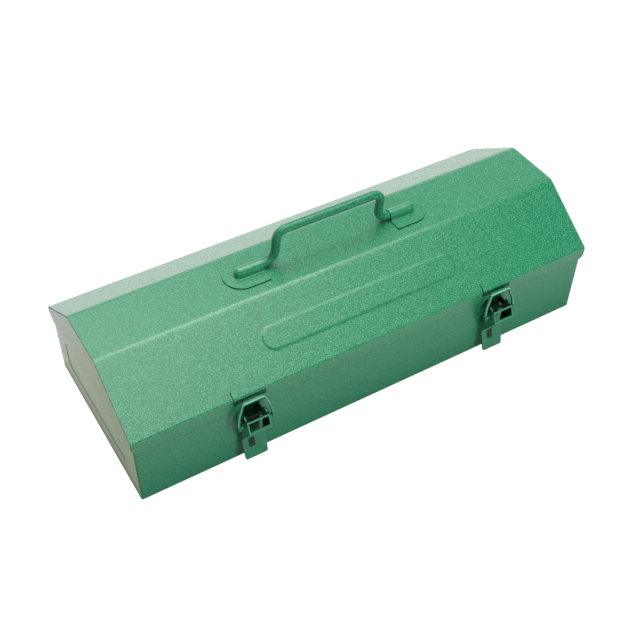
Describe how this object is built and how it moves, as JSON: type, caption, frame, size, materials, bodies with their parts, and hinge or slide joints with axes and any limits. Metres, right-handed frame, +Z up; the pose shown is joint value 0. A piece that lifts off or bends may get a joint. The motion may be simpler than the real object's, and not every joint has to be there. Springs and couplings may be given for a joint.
{
  "type": "steel toolbox",
  "caption": "Hip-roofed steel toolbox with a hinged lid, a folding wire handle on top and lever draw latches on the front.",
  "frame": {"origin": "middle of the underside, on the surface that the box stands on", "axes": "+X along the box to the viewer's right, -Y out of the front with the latches, +Z up"},
  "size_m": [0.359, 0.1571, 0.1244],
  "materials": {
    "hammered_green_paint": "gloss hammered",
    "green_painted_hardware": "gloss",
    "zinc_plated_steel": "zinc plated"
  },
  "bodies": {
    "body": {"body_wrap": "hammered_green_paint", "body_end_left": "hammered_green_paint", "body_end_right": "hammered_green_paint", "hinge_case_leaf_left": "green_painted_hardware", "hinge_case_leaf_right": "green_painted_hardware", "hinge_pin_left": "zinc_plated_steel", "hinge_pin_right": "zinc_plated_steel", "hinge_case_rivets": "green_painted_hardware", "latch_base_left": "green_painted_hardware", "latch_base_right": "green_painted_hardware", "latch_base_rivets": "green_painted_hardware", "lever_pin_left": "green_painted_hardware", "lever_pin_right": "green_painted_hardware"},
    "lid": {"lid_wrap": "hammered_green_paint", "lid_end_left": "hammered_green_paint", "lid_end_right": "hammered_green_paint", "handle_bracket_left": "hammered_green_paint", "handle_bracket_right": "hammered_green_paint", "hinge_lid_leaf_left": "green_painted_hardware", "hinge_lid_leaf_right": "green_painted_hardware", "hinge_lid_rivets": "green_painted_hardware", "keeper_left": "green_painted_hardware", "keeper_right": "green_painted_hardware"},
    "handle": {"handle_bar": "hammered_green_paint"},
    "lever_left": {"lever_left": "green_painted_hardware"},
    "bail_left": {"bail_left": "green_painted_hardware"},
    "lever_right": {"lever_right": "green_painted_hardware"},
    "bail_right": {"bail_right": "green_painted_hardware"}
  },
  "joints": [
    {"name": "lid_hinge", "type": "hinge", "parent": "body", "child": "lid", "pos_m": [0, 0.07155, 0.0485], "axis": [-1, 0, 0], "range_deg": [0, 105]},
    {"name": "handle_pivot", "type": "hinge", "parent": "lid", "child": "handle", "pos_m": [0, 0, 0.0949], "axis": [1, 0, 0], "range_deg": [-95, 81]},
    {"name": "lever_left_pivot", "type": "hinge", "parent": "body", "child": "lever_left", "pos_m": [-0.098, -0.0752, 0.045], "axis": [-1, 0, 0], "range_deg": [-5, 90]},
    {"name": "bail_left_pivot", "type": "hinge", "parent": "lever_left", "child": "bail_left", "pos_m": [-0.098, -0.0761, 0.0398], "axis": [-1, 0, 0], "range_deg": [-80, 10]},
    {"name": "lever_right_pivot", "type": "hinge", "parent": "body", "child": "lever_right", "pos_m": [0.098, -0.0752, 0.045], "axis": [-1, 0, 0], "range_deg": [-5, 90]},
    {"name": "bail_right_pivot", "type": "hinge", "parent": "lever_right", "child": "bail_right", "pos_m": [0.098, -0.0761, 0.0398], "axis": [-1, 0, 0], "range_deg": [-80, 10]}
  ],
  "couplings": [
    {"joint": "bail_left_pivot", "follows": "lever_left_pivot", "ratio": -0.85},
    {"joint": "bail_right_pivot", "follows": "lever_right_pivot", "ratio": -0.85}
  ]
}
